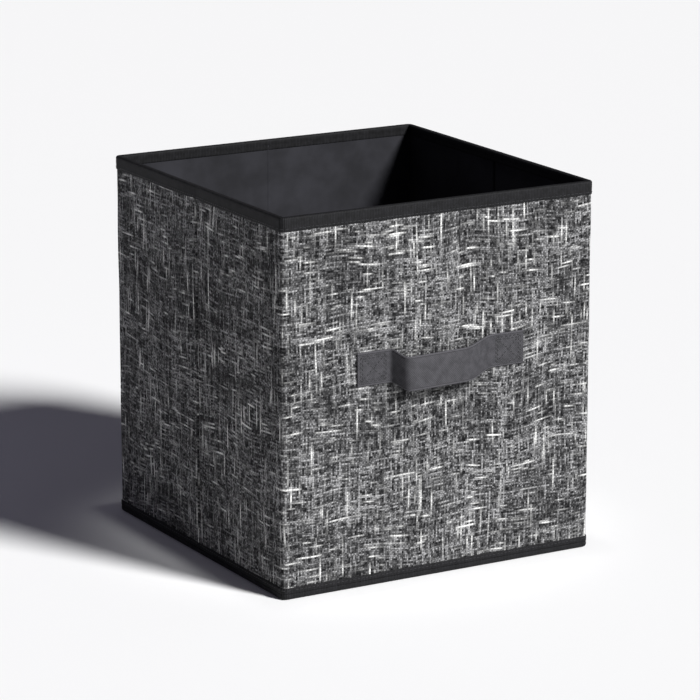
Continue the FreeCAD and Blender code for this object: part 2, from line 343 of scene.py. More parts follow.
@dataclass(frozen=True)
class RibbedTape:
    """Grosgrain polyester tape, woven with ribs across its width.

    Each rib's crest is painted with a thin highlight line, so the black edge looks finely notched
    and a little silky.
    """

    black: str = "0b0b0c"
    # the crests' colour is a painted highlight
    crest: str = "222225"
    rib: float = 1.3 * MM  # real ribs are about 0.7 mm apart: drawn coarser, to show
    wear: float = 5 * MM  # the size of places where the painted crest highlight is dimmer
    fibre: float = 0.4 * MM
    relief: float = 0.22 * MM

    def material(self) -> bpy.types.Material:
        """Builds the tape's material from the cloth map."""
        n = NodeSheet("grosgrain_polyester_tape")
        flat = n.add("UVMap", uv_map=CLOTH_MAP)
        along = n.add("SeparateXYZ", flat)
        turn = n.add("Math", along, 2 * math.pi / self.rib, operation="MULTIPLY")
        crest = n.add("Math", turn, operation="SINE")
        crest = n.add("Math", crest, 0.5, 0.5, operation="MULTIPLY_ADD")
        highlight_cloud = n.add("TexNoise", flat, 1 / self.wear, 3.0, 0.7)
        bright = n.add("MapRange", highlight_cloud, 0.3, 0.7, 0.15, 1.0, **SMOOTH)
        # painted highlight: each rib's crest is painted lighter, dimmer in some places
        lit = n.add("Math", crest, bright, operation="MULTIPLY")
        tone = n.add("Mix", lit, linear(self.black), linear(self.crest), data_type="RGBA")
        fibre = n.add("TexNoise", flat, 1 / self.fibre, 2.0, 0.6)
        height = n.add("Math", fibre, 0.3, crest, operation="MULTIPLY_ADD")
        return n.surface(tone, height, self.relief, 0.7, roughness=0.7, ior=1.57, shine=0.15)


@dataclass(frozen=True)
class StrapWebbing:
    """Flat polypropylene webbing, woven tight with a smooth face and firm edges.

    It reads as an even dark grey, with painted shade between the ribs of its weave; only its edges,
    painted with a highlight band and a dark groove line, and the stitching break the surface.
    """

    dark: str = "27272a"
    light: str = "454448"
    pick: float = 1.5 * MM  # one rib of the weave along the strap
    end: float = 0.9 * MM  # one rib across it
    edge: float = 11.0 * MM  # where the painted highlight band along each edge begins, and the painted dark groove line runs, from the middle
    groove: float = 0.5 * MM  # half the width of that painted dark groove line, which also dips the relief
    patch: float = 6 * MM  # the size of lighter areas
    relief: float = 0.22 * MM

    def material(self) -> bpy.types.Material:
        """Builds the webbing's material from the cloth map."""
        n = NodeSheet("woven_polypropylene_webbing")
        flat = n.add("UVMap", uv_map=CLOTH_MAP)
        along, across, _ = n.add("SeparateXYZ", flat).outputs
        rows = n.add("Math", across, self.end, operation="DIVIDE")
        picks = n.add("Math", along, self.pick, operation="DIVIDE")
        # each row starts half a pick past the one before
        row = n.add("Math", rows, operation="FLOOR")
        picks = n.add("Math", row, 0.5, picks, operation="MULTIPLY_ADD")
        # painted shade: each rib of the weave is painted lighter at its crown and darker towards
        # its sides
        arches = []
        for count in (picks, rows):
            within = n.add("Math", count, operation="FRACT")
            turn = n.add("Math", within, math.pi, operation="MULTIPLY")
            arches.append(n.add("Math", turn, operation="SINE"))
        knit = n.add("Math", *arches, operation="MULTIPLY")
        cloud = n.add("TexNoise", flat, 1 / self.patch, 3.0, 0.6)
        cloudy = n.add("MapRange", cloud, 0.3, 0.7, 0.0, 0.5, **SMOOTH)
        lit = n.add("Math", knit, 0.6, cloudy, operation="MULTIPLY_ADD")
        # painted highlight: a lighter band along each edge; painted shade: a dark line along the
        # groove beside it
        from_middle = n.add("Math", across, operation="ABSOLUTE")
        painted_edge_highlight = n.add("MapRange", from_middle, self.edge, self.edge + 0.4 * MM, **SMOOTH)
        off_edge = n.add("Math", from_middle, self.edge, operation="SUBTRACT")
        off_edge = n.add("Math", off_edge, operation="ABSOLUTE")
        line = n.add("MapRange", off_edge, 0.1 * MM, self.groove, 0.15, 1.0, **SMOOTH)
        lit = n.add("Math", painted_edge_highlight, 0.5, lit, operation="MULTIPLY_ADD")
        lit = n.add("Math", lit, line, operation="MULTIPLY")
        tone = n.add("Mix", lit, linear(self.dark), linear(self.light), data_type="RGBA")
        height = n.add("Math", knit, line, operation="MULTIPLY")
        return n.surface(tone, height, self.relief, 0.8, roughness=0.65, ior=1.49, shine=0.25)


@dataclass(frozen=True)
class SewingThread:
    """Twisted black polyester thread, with the turns of its ply painted as thin lines of highlight
    and shade.
    """

    dark: str = "0c0c0e"
    light: str = "2b2b2f"
    turn: float = 0.8 * MM
    slant: float = 0.6  # how far a turn of the ply leans
    relief: float = 0.05 * MM

    def material(self) -> bpy.types.Material:
        """Builds the thread's material from the cloth map."""
        n = NodeSheet("black_polyester_thread")
        along, across, _ = n.add("SeparateXYZ", n.add("UVMap", uv_map=CLOTH_MAP)).outputs
        leaning = n.add("Math", across, self.slant, along, operation="MULTIPLY_ADD")
        turns = n.add("Math", leaning, 2 * math.pi / self.turn, operation="MULTIPLY")
        ply = n.add("Math", turns, operation="SINE")
        # painted highlight and shade: each turn of the ply is painted lighter at its crown and
        # darker where it dips
        lit = n.add("MapRange", ply, -1.0, 1.0, **SMOOTH)
        tone = n.add("Mix", lit, linear(self.dark), linear(self.light), data_type="RGBA")
        return n.surface(tone, ply, self.relief, 0.4, roughness=0.5, ior=1.57)


@dataclass(frozen=True)
class Greyboard:
    """Recycled greyboard, rolled smooth, with flecks of fibre in a dull brown grey."""

    base: str = "8d7f6c"
    fleck: str = "5f5548"
    fleck_size: float = 2.5 * MM
    relief: float = 0.1 * MM

    def material(self) -> bpy.types.Material:
        """Builds the board's material from its own place in the frame."""
        n = NodeSheet("recycled_greyboard")
        place = n.add("TexCoord").outputs["Object"]
        cloud = n.add("TexNoise", place, 1 / self.fleck_size, 5.0, 0.75)
        flecks = n.add("MapRange", cloud, 0.48, 0.62, **SMOOTH)
        tone = n.add("Mix", flecks, linear(self.base), linear(self.fleck), data_type="RGBA")
        return n.surface(tone, flecks, self.relief, 0.3, roughness=0.9, ior=1.5)


@dataclass(frozen=True)
class StudioPaper:
    """Matte white background paper under the bin."""

    white: str = "f2f2f2"
    grain: float = 3 * MM
    relief: float = 0.1 * MM

    def material(self) -> bpy.types.Material:
        """Builds the paper's material from its own place in the frame."""
        n = NodeSheet("matte_background_paper")
        place = n.add("TexCoord").outputs["Object"]
        grain = n.add("TexNoise", place, 1 / self.grain)
        return n.surface(linear(self.white), grain, self.relief, 0.05, roughness=0.95, ior=1.5)


class Finish(Enum):
    """The finishes that the bin's pieces are dressed in, each with the name of its material slot.
    """

    COVER = "linen_cloth"
    LINING = "lining_cloth"
    TAPE = "binding_tape"
    STRAP = "strap_webbing"
    THREAD = "thread"
    BOARD = "wall_board"


class Wardrobe:
    """Makes each finish once and dresses pieces in it."""

    def __init__(self) -> None:
        """Builds all the finishes."""
        self.materials = {
            Finish.COVER: LinenLookCloth().material(),
            Finish.LINING: NonWovenLining().material(),
            Finish.TAPE: RibbedTape().material(),
            Finish.STRAP: StrapWebbing().material(),
            Finish.THREAD: SewingThread().material(),
            Finish.BOARD: Greyboard().material(),
        }

    def dress(self, piece: bpy.types.Object, finish: Finish, sewn_to: Finish | None = None) -> None:
        """Gives a piece its material.

        Args:
            piece: the piece.
            finish: what it is made of.
            sewn_to: not used.
        """
        piece.data.materials.clear()
        piece.data.materials.append(self.materials[finish])


# ------------------------------------------------------------------------------ the outline
class Side(Enum):
    """The bin's sides, in the order that the outline is walked, with the outside on the right."""

    BACK = 0
    LEFT = 1
    FRONT = 2
    RIGHT = 3

    @property
    def outward(self) -> np.ndarray:
        """The direction that the side faces."""
        return np.array([(0.0, 1.0), (-1.0, 0.0), (0.0, -1.0), (1.0, 0.0)][self.value])

    @property
    def heading(self) -> np.ndarray:
        """The direction that the side is walked in."""
        return np.array([(-1.0, 0.0), (0.0, -1.0), (1.0, 0.0), (0.0, 1.0)][self.value])

    @property
    def creased(self) -> bool:
        """Whether the side has a crease at mid-depth."""
        return self in (Side.LEFT, Side.RIGHT)

    @property
    def label(self) -> str:
        """The side's name in the names of its pieces."""
        return self.name.lower()


@dataclass(frozen=True)
class Stations:
    """Places along the outline."""

    walk: np.ndarray  # distance walked
    place: np.ndarray  # on the walls' outer face, seen from above
    outward: np.ndarray  # the way out of the wall there
    along: np.ndarray  # distance past the middle of the side
    creased: np.ndarray  # whether the side has a crease


@dataclass(frozen=True)
class Outline:
    """The walls' outer face seen from above: a rectangle with rounded corners."""

    half_width: float
    half_depth: float
    radius: float = 3.4 * MM

    @property
    def straights(self) -> list[float]:
        """The straight length of each side."""
        return [2 * (self.half_length(side) - self.radius) for side in Side]

    @property
    def corner(self) -> float:
        """The length walked round one corner."""
        return math.pi / 2 * self.radius

    @property
    def length(self) -> float:
        """The length walked round the whole bin."""
        return sum(self.straights) + 4 * self.corner

    def half_length(self, side: Side) -> float:
        """Half a side's length between its sharp corners."""
        return self.half_depth if side.creased else self.half_width

    def half_across(self, side: Side) -> float:
        """How far a side's face stands from the bin's middle."""
        return self.half_width if side.creased else self.half_depth

    def walk_to(self, side: Side, along: float) -> float:
        """The distance walked to a place on a side, from the middle of the right rear corner."""
        before = sum(self.straights[: side.value]) + side.value * self.corner
        return self.corner / 2 + before + self.straights[side.value] / 2 + along

    def stations(self, walk: np.ndarray) -> Stations:
        """The places at the distances walked.

        Args:
            walk: distances from the middle of the right rear corner.

        Returns:
            The stations there.
        """
        place, outward = np.zeros((len(walk), 2)), np.zeros((len(walk), 2))
        along, creased = np.zeros(len(walk)), np.zeros(len(walk), bool)
        left = np.mod(walk - self.corner / 2, self.length)
        start = 0.0
        for side, straight in zip(Side, self.straights):
            far = self.half_across(side)
            on_side = (left >= start) & (left <= start + straight)
            past = left[on_side] - start - straight / 2
            place[on_side] = side.outward * far + np.outer(past, side.heading)
            outward[on_side], along[on_side] = side.outward, past
            start += straight
            turning = (left > start) & (left < start + self.corner)
            angle = (left[turning] - start) / self.radius
            out = np.outer(np.cos(angle), side.outward) + np.outer(np.sin(angle), side.heading)
            centre = side.outward * (far - self.radius) + side.heading * straight / 2
            place[turning], outward[turning] = centre + self.radius * out, out
            along[turning] = straight / 2
            creased[on_side | turning] = side.creased
            start += self.corner
        return Stations(walk, place, outward, along, creased)

    def skin(self, at: Stations, out: np.ndarray, high: np.ndarray) -> np.ndarray:
        """A skin's points. Further in than the corner's radius, its corners are sharp.

        Args:
            at: n stations.
            out: distances out from the wall's face, n by k.
            high: heights, n by k or k.

        Returns:
            Points, n by k by 3.
        """
        flat = at.place[:, None] + at.outward[:, None] * out[..., None]
        limit = np.stack([self.half_width + out, self.half_depth + out], axis=-1)
        return stand(np.clip(flat, -limit, limit), high)


# ------------------------------------------------------------------------------ lines and meshes
def steps(low: float, high: float, step: float) -> np.ndarray:
    """Even numbers from low to high, about a step apart."""
    return np.linspace(low, high, max(2, int(round((high - low) / step)) + 1))


def fade(distance: np.ndarray, reach: float) -> np.ndarray:
    """1 at no distance, falling smoothly to nothing past the reach."""
    return np.exp(-((distance / reach) ** 2))


def ease(share: np.ndarray) -> np.ndarray:
    """A share from 0 to 1 with soft ends."""
    return share**2 * (3 - 2 * share)


def walked(*line: np.ndarray) -> np.ndarray:
    """The distance walked to each point of a line, given its coordinates."""
    return np.concatenate([[0], np.cumsum(np.hypot(*(np.diff(part) for part in line)))])


def inset(out: np.ndarray, high: np.ndarray, depth: float) -> tuple[np.ndarray, np.ndarray]:
    """A line moved in, square to itself.

    Args:
        out: its distances out, along the last axis.
        high: its heights.
        depth: how far it is moved.

    Returns:
        The moved line's distances out and heights.
    """
    way_out, way_high = np.gradient(out, axis=-1), np.gradient(high, axis=-1)
    size = np.maximum(np.hypot(way_out, way_high), 1e-9)
    return out - depth * way_high / size, high + depth * way_out / size


def stand(flat: np.ndarray, high: np.ndarray) -> np.ndarray:
    """Points seen from above, given their heights.

    Args:
        flat: n by k by 2.
        high: heights, n by k or k.

    Returns:
        Points, n by k by 3.
    """
    return np.concatenate([flat, np.broadcast_to(high, flat.shape[:2])[..., None]], axis=-1)


def mesh_object(name: str, points: np.ndarray, faces: np.ndarray,
                spots: np.ndarray) -> bpy.types.Object:
    """A smooth mesh with a cloth map.

    Args:
        name: the object's name.
        points: its vertices.
        faces: its quads, as rows of four vertex numbers.
        spots: the cloth map's value at each vertex.

    Returns:
        The new object, in the scene.
    """
    mesh = bpy.data.meshes.new(name)
    mesh.from_pydata(points.reshape(-1, 3).tolist(), [], faces.tolist())
    layer = mesh.uv_layers.new(name=CLOTH_MAP)
    corners = np.zeros(len(mesh.loops), int)
    mesh.loops.foreach_get("vertex_index", corners)
    layer.uv.foreach_set("vector", spots.reshape(-1, 2)[corners].astype(np.float32).ravel())
    mesh.polygons.foreach_set("use_smooth", np.ones(len(mesh.polygons), bool))
    mesh.set_sharp_from_angle(angle=math.radians(50))
    mesh.update()
    made = bpy.data.objects.new(name, mesh)
    bpy.context.scene.collection.objects.link(made)
    return made


def bands(rings: int, count: int) -> np.ndarray:
    """The quads between closed rings of points, count to a ring."""
    ring, place = np.meshgrid(np.arange(rings - 1) * count, np.arange(count), indexing="ij")
    after = (place + 1) % count
    corners = [ring + place, ring + count + place, ring + count + after, ring + after]
    return np.stack(corners, axis=-1).reshape(-1, 4)


def sweep(name: str, outer: np.ndarray, inner: np.ndarray, along: np.ndarray,
          across: np.ndarray) -> bpy.types.Object:
    """A closed skin swept along a line: an outer face, an inner face and the edges between.

    Args:
        name: the object's name.
        outer: the outer face's points, n along by k across by 3.
        inner: the inner face's points, in the same order.
        along: the cloth map's first value at each of the n.
        across: its second value at each of the k.

    Returns:
        The new object, in the scene.
    """
    n, k, _ = outer.shape
    ring = np.concatenate([outer, inner[:, ::-1]], axis=1)
    spots = np.stack(np.meshgrid(along, [*across, *across[::-1]], indexing="ij"), axis=-1)
    edge = np.arange(k - 1)
    cap = np.stack([edge, edge + 1, 2 * k - 2 - edge, 2 * k - 1 - edge], axis=-1)
    faces = np.concatenate([bands(n, 2 * k), cap, (cap + (n - 1) * 2 * k)[:, ::-1]])
    return mesh_object(name, ring, faces, spots)


def tubes(name: str, points: np.ndarray, spots: tuple[np.ndarray, np.ndarray]) -> bpy.types.Object:
    """Closed tubes, each of rings of points.

    Args:
        name: the object's name.
        points: tubes by rings by places round a ring by 3.
        spots: the cloth map's two values at the points.

    Returns:
        The tubes as one object, in the scene.
    """
    count, rings, around, _ = points.shape
    fan = np.arange(1, around - 2, 2)
    cap = np.stack([0 * fan, fan, fan + 1, fan + 2], axis=-1)
    skin = bands(rings, around)[:, [0, 3, 2, 1]]
    one = np.concatenate([skin, cap[:, ::-1], cap + (rings - 1) * around])
    faces = (one + rings * around * np.arange(count)[:, None, None]).reshape(-1, 4)
    spread = [np.broadcast_to(spot, points.shape[:3]) for spot in spots]
    return mesh_object(name, points, faces, np.stack(spread, axis=-1))


@dataclass(frozen=True)
class Thread:
    """A sewing thread and the stitches that it makes."""

    stitch: float = 2.6 * MM
    pitch: float = 3.4 * MM
    thick: float = 0.42 * MM

    def sew(self, name: str, centres: np.ndarray, ways: np.ndarray,
            ups: np.ndarray) -> bpy.types.Object:
        """Short lengths of thread that dip into the cloth at both ends.

        Args:
            name: the object's name.
            centres: the middle of each stitch, on the cloth.
            ways: the direction that each runs in.
            ups: the way out of the cloth at each.

        Returns:
            The stitches as one object.
        """
        run = np.array([-0.5, -0.34, 0.0, 0.34, 0.5]) * self.stitch
        lift = np.array([-0.45, 0.0, 0.15, 0.0, -0.45]) * self.thick
        girth = np.array([0.55, 0.95, 1.0, 0.95, 0.55]) * self.thick / 2
        around = np.arange(6) * math.pi / 3
        line = centres[:, None] + ways[:, None] * run[:, None] + ups[:, None] * lift[:, None]
        sides = np.cross(ups, ways)
        ring = np.multiply.outer(np.cos(around), sides) + np.multiply.outer(np.sin(around), ups)
        ring = ring.transpose(1, 0, 2)[:, None] * girth[:, None, None]
        spots = run[:, None], around * self.thick / 2
        return tubes(name, line[:, :, None] + ring, spots)


class Ripple:
    """Soft waves round the whole bin, the same each time: long ones, added up."""

    def __init__(self, outline: Outline, seed: int, longest: float, shortest: float,
                 count: int = 14) -> None:
        """Picks the waves.

        Args:
            outline: the outline that they close on.
            seed: sets one set of waves apart from another.
            longest: the longest wavelength.
            shortest: the shortest.
            count: how many are added.
        """
        draw = np.random.default_rng(seed)
        size = np.exp(draw.uniform(np.log(shortest), np.log(longest), count))
        angle = draw.uniform(0, 2 * math.pi, count)
        turns = np.round(outline.length * np.cos(angle) / size)
        self.round_rate = 2 * math.pi * turns / outline.length
        self.up_rate = 2 * math.pi * np.sin(angle) / size
        self.phase = draw.uniform(0, 2 * math.pi, count)
        self.weight = 1.8 * size / size.sum()  # the sum stays within about 1 of zero

    def at(self, walk: np.ndarray, height: np.ndarray | float) -> np.ndarray:
        """The waves' sum.

        Args:
            walk: distances walked.
            height: heights, of a shape that goes with walk's.

        Returns:
            The sum at each.
        """
        walk, height = np.broadcast_arrays(walk, height)
        turn = walk[..., None] * self.round_rate + height[..., None] * self.up_rate + self.phase
        return (np.sin(turn) * self.weight).sum(-1)


# ------------------------------------------------------------------------------ stretches of wall
class Crease(Enum):
    """Which end of a stretch lies at a crease."""

    NONE = 0
    START = 1
    STOP = 2


@dataclass(frozen=True)
class Stretch:
    """A stretch of the wall round the bin, and the bodies that it lies on."""

    name: str
    start: float  # distance walked to its start
    stop: float
    bodies: tuple[str, ...]  # one body, or the two that it lies between, in the order walked
    step: float = 2.3 * MM  # how far apart its mesh's lines stand
    crease: Crease = Crease.NONE

    @property
    def length(self) -> float:
        """The length walked along it."""
        return self.stop - self.start

    def trimmed(self, gap: float, other: float = 0.0) -> tuple[float, float]:
        """Where it starts and stops, less a gap at a crease and another one elsewhere."""
        start = self.start + (gap if self.crease == Crease.START else other)
        return start, self.stop - (gap if self.crease == Crease.STOP else other)

    def lines(self, gap: float, step: float | None = None) -> np.ndarray:
        """The places of the stretch's mesh lines, closer together towards a crease.

        Args:
            gap: what is left free of the piece on its side of a crease.
            step: how far apart the lines stand, where it isn't the stretch's own.

        Returns:
            Distances walked.
        """
        start, stop = self.trimmed(gap)
        places = steps(start, stop, min(step or self.step, self.step))
        near = np.concatenate([steps(0, 1.4 * MM, 0.2 * MM), steps(1.9 * MM, 6 * MM, 0.8 * MM)])
        far = 7 * MM  # where the lines stand evenly again
        if self.crease == Crease.START:
            places = np.concatenate([start + near, places[places > start + far]])
        if self.crease == Crease.STOP:
            places = np.concatenate([places[places < stop - far], (stop - near)[::-1]])
        return places

    def follow(self, piece: bpy.types.Object, outline: Outline) -> None:
        """Makes a piece of this stretch ride on its body; a piece between two bodies is only baked
        where it is built.

        Args:
            piece: the finished piece.
            outline: the bin's outline.
        """
        if len(self.bodies) == 1:
            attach(piece, self.bodies[0])
            return
        ends = outline.stations(np.array([self.start, self.stop])).place
        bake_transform(piece)


@dataclass
class WallPlan:
    """The stretches that the wall's cover, tape and hem are cut into."""

    outline: Outline
    corner_reach: float = 7 * MM  # a corner piece's reach along each wall
    corner_step: float = 0.8 * MM
    crease_reach: float = 1.25 * MM  # how far from a crease the soft fold between boards reaches
    crease_step: float = 0.125 * MM

    def stretches(self) -> list[Stretch]:
        """The stretches of wall, in the order walked."""
        o, reach = self.outline, self.corner_reach
        first = {side: o.walk_to(side, reach - o.half_length(side)) for side in Side}
        last = {side: o.walk_to(side, o.half_length(side) - reach) for side in Side}
        left, right = o.walk_to(Side.LEFT, 0.0), o.walk_to(Side.RIGHT, 0.0)
        # the sewn pivot at the right rear corner is a slit between the two walls' cloths
        slit = o.walk_to(Side.RIGHT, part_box("right_rear_board")[1].y)
        return [
            Stretch("back", slit - o.length, last[Side.BACK], ("back_wall",)),
            Stretch("back_left_corner", last[Side.BACK], first[Side.LEFT],
                    ("back_wall", "left_rear_panel"), self.corner_step),
            Stretch("left_rear", first[Side.LEFT], left, ("left_rear_panel",), crease=Crease.STOP),
            Stretch("left_front", left, last[Side.LEFT], ("left_front_panel",),
                    crease=Crease.START),
            Stretch("front_left_corner", last[Side.LEFT], first[Side.FRONT],
                    ("left_front_panel", "front_wall"), self.corner_step),
            Stretch("front", first[Side.FRONT], last[Side.FRONT], ("front_wall",)),
            Stretch("front_right_corner", last[Side.FRONT], first[Side.RIGHT],
                    ("front_wall", "right_front_panel"), self.corner_step),
            Stretch("right_front", first[Side.RIGHT], right, ("right_front_panel",),
                    crease=Crease.STOP),
            Stretch("right_rear", right, slit, ("right_rear_panel",), crease=Crease.START),
        ]

    def creases(self) -> dict[str, Stretch]:
        """The soft folds at mid-depth, between the two halves of a side.

        Returns:
            Each fold, by the name of the front stretch that it is sewn to.
        """
        found = {}
        for side, halves in ((Side.LEFT, ("rear", "front")), (Side.RIGHT, ("front", "rear"))):
            middle = self.outline.walk_to(side, 0.0)
            bodies = tuple(f"{side.label}_{half}_panel" for half in halves)
            found[f"{side.label}_front"] = Stretch(
                f"{side.label}_crease", middle - self.crease_reach, middle + self.crease_reach,
                bodies, self.crease_step)
        return found


# ------------------------------------------------------------------------------ cover and lining
@dataclass
class Cover:
    """The outer cloth, stretched over the boards from the hem to the rim."""

    outline: Outline
    wardrobe: Wardrobe
    height: float
    thick: float = 0.5 * MM
    low: float = 4.3 * MM
    top_gap: float = 0.7 * MM  # how far below the bin's top it ends, under the tape
    grid: float = 2.3 * MM
    turn_in: float = 11 * MM  # the finer stretch of the back, round the right rear corner
    turn_grid: float = 0.9 * MM
    stand_off: float = 0.35 * MM  # the least that the cloth stands off the wall's nominal face
    swell: float = 0.9 * MM  # how far it swells in the middle of a panel
    wave: float = 0.32 * MM
    pucker: float = 0.16 * MM  # gathers along the sewn edges
    pucker_reach: float = 7 * MM
    tuck: float = 0.5 * MM  # how much lower it lies under the rim tape and the hem
    curl: float = 1.9 * MM  # how deep it turns in between the boards at a crease
    curl_reach: float = 0.8 * MM
    free: float = 1.3 * MM  # where it ends on each side of a crease
    fold_out: float = 0.57 * MM  # the soft fold's face stands this far out, next to the hinge line
    fold_dip: float = 1.4 * MM  # how deep its edges turn in under the boards' cloth
    fold_flat: float = 0.75 * MM  # how far from the crease it begins to turn in
    fold_turn: float = 0.5 * MM  # and how much further on it has turned
    fold_lap: float = 0.2 * MM  # how far it runs on under the tape and the hem
    fold_thick: float = 0.12 * MM

    def __post_init__(self) -> None:
        """Sets out the waves."""
        self.waves = Ripple(self.outline, 11, 150 * MM, 45 * MM)
        self.gathers = Ripple(self.outline, 12, 11 * MM, 5 * MM, 24)
        self.seams = (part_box("base_hem")[1].z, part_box("front_rim_tape")[0].z)

    def out(self, at: Stations, up: np.ndarray) -> np.ndarray:
        """How far the cloth's face stands out from the wall.

        Args:
            at: n stations.
            up: k heights.

        Returns:
            Distances, n by k.
        """
        walk, high = np.meshgrid(at.walk, up, indexing="ij")
        half = np.where(at.creased, self.outline.half_depth / 2, self.outline.half_width)
        middle = np.where(at.creased, self.outline.half_depth / 2, 0.0)
        off_middle = np.clip((np.abs(at.along) - middle) / half, -1, 1)
        seam_low, seam_high = self.seams
        level = np.clip((2 * high - seam_low - seam_high) / (seam_high - seam_low), -1, 1)
        bulge = (1 - off_middle[:, None] ** 2) * (1 - level**2) * self.swell
        near = np.minimum(np.abs(high - seam_low), np.abs(seam_high - high))
        gather = self.gathers.at(walk, high * 0.25) * fade(near, self.pucker_reach) * self.pucker
        to_crease = np.where(at.creased, np.abs(at.along), 1.0)[:, None]
        calm = (1 - 0.8 * fade(near, 10 * MM)) * (1 - 0.9 * fade(to_crease, 14 * MM))
        turned = fade(np.maximum(to_crease - self.free, 0), self.curl_reach)
        rough = self.waves.at(walk, high) * self.wave * calm
        face = np.maximum(self.stand_off + bulge + rough + gather * (1 - turned), 0.02 * MM)
        beyond = np.clip(np.maximum(seam_low - high, high - seam_high) / MM, 0, 1)
        return face - self.curl * turned - self.tuck * beyond

    def build(self, stretch: Stretch) -> bpy.types.Object:
        """Builds the cover of one stretch of wall.

        Args:
            stretch: the stretch.

        Returns:
            The piece.
        """
        walk = stretch.lines(self.free)
        if stretch.name == Side.BACK.label:
            turn = steps(stretch.start, stretch.start + self.turn_in, self.turn_grid)
            walk = np.concatenate([turn[:-1], walk[walk > turn[-1]]])
        at = self.outline.stations(walk)
        up = steps(self.low, self.height - self.top_gap, self.grid)
        return self._piece(stretch, at, up, self.out(at, up), self.thick)

    def soft_fold(self, stretch: Stretch) -> bpy.types.Object:
        """Builds the narrow fold of cloth that joins a side's halves, out next to their hinge.

        Args:
            stretch: the stretch at the crease.

        Returns:
            The piece.
        """
        at = self.outline.stations(stretch.lines(0.0))
        low, high = self.seams
        up = steps(low - self.fold_lap, high + self.fold_lap, 2 * self.grid)
        past = np.clip((np.abs(at.along) - self.fold_flat) / self.fold_turn, 0, 1)
        out = self.fold_out - self.fold_dip * ease(past)
        return self._piece(stretch, at, up, np.tile(out[:, None], len(up)), self.fold_thick)

    def _piece(self, stretch: Stretch, at: Stations, up: np.ndarray, out: np.ndarray,
               thick: float) -> bpy.types.Object:
        """Makes a piece of cover.

        Args:
            stretch: the stretch of wall that it covers.
            at: n stations.
            up: k heights.
            out: its outer skin's distances out, n by k.
            thick: how far below that its inner skin lies.

        Returns:
            The piece, dressed.
        """
        skins = (self.outline.skin(at, distance, up) for distance in (out, out - thick))
        piece = sweep(f"{stretch.name}_linen", *skins, at.walk, up)
        self.wardrobe.dress(piece, Finish.COVER)
        return piece


@dataclass
class Lining:
    """The black inner cloth on each wall, creased where the wall folds."""

    outline: Outline
    wardrobe: Wardrobe
    height: float
    wall: float  # the wall's thickness
    thick: float = 0.4 * MM
    low: float = 4.3 * MM
    top_gap: float = 0.7 * MM
    grid: float = 3.0 * MM
    wave: float = 0.22 * MM
    calm: float = 12 * MM  # how far from its ends it lies flat
    free: float = 0.2 * MM  # where it ends on each side of a crease
    turn_out: float = 1.6 * MM  # how deep it turns in between the boards there
    turn_reach: float = 1.0 * MM
    mark: float = 0.35 * MM  # how far the fold line of the front and the back stands in
    mark_reach: float = 0.8 * MM

    def build(self, stretch: Stretch, side: Side, ends: tuple[float, float]) -> bpy.types.Object:
        """Builds the lining of one wall, or of one half of a side.

        Args:
            stretch: the stretch of wall that it is inside.
            side: the wall's side.
            ends: where it starts and stops, from the middle of the side.

        Returns:
            The piece.
        """
        along = self._lines(ends)
        up = steps(self.low, self.height - self.top_gap, self.grid)
        walk = self.outline.walk_to(side, 0.0) + along
        waves = Ripple(self.outline, 21 + side.value, 160 * MM, 40 * MM).at(walk[:, None], up)
        from_end = np.minimum(np.abs(along - ends[0]), np.abs(ends[1] - along))
        calm = 1 - fade(from_end, self.calm)[:, None]
        into = self.wall + self.wave * (0.5 + 0.5 * np.clip(waves, -1, 1)) * calm
        if side.creased:
            into = into - self.turn_out * fade(np.abs(along) - self.free, self.turn_reach)[:, None]
        else:
            # the fold line dies away downwards
            fading = np.clip((up / self.height - 0.35) / 0.5, 0, 1)
            into = into + self.mark * fade(along, self.mark_reach)[:, None] * fading
        line = (side.heading * along[:, None])[:, None]
        skins = []
        for depth in (into - self.thick, into):
            out = self.outline.half_across(side) - depth
            skins.append(stand(side.outward * out[..., None] + line, up))
        piece = sweep(f"{stretch.name}_lining_cloth", *skins, walk, up)
        self.wardrobe.dress(piece, Finish.LINING)
        return piece

    def _lines(self, ends: tuple[float, float]) -> np.ndarray:
        """The places of the mesh's lines, closer together at mid-wall.

        Args:
            ends: where the lining starts and stops; one of them is 0 on half a side.

        Returns:
            Distances from the middle of the side.
        """
        low, high = ends
        if low < 0 < high:
            even, fine = steps(low, high, self.grid), steps(-3 * MM, 3 * MM, 0.4 * MM)
            before, after = even[even < fine[0] - MM], even[even > fine[-1] + MM]
            return np.concatenate([before, fine, after])
        near = [steps(self.free, 3 * MM, 0.25 * MM), steps(3.6 * MM, 8 * MM, MM)]
        along = np.concatenate([*near, steps(9 * MM, max(-low, high), self.grid)])
        return along if high > 0 else -along[::-1]


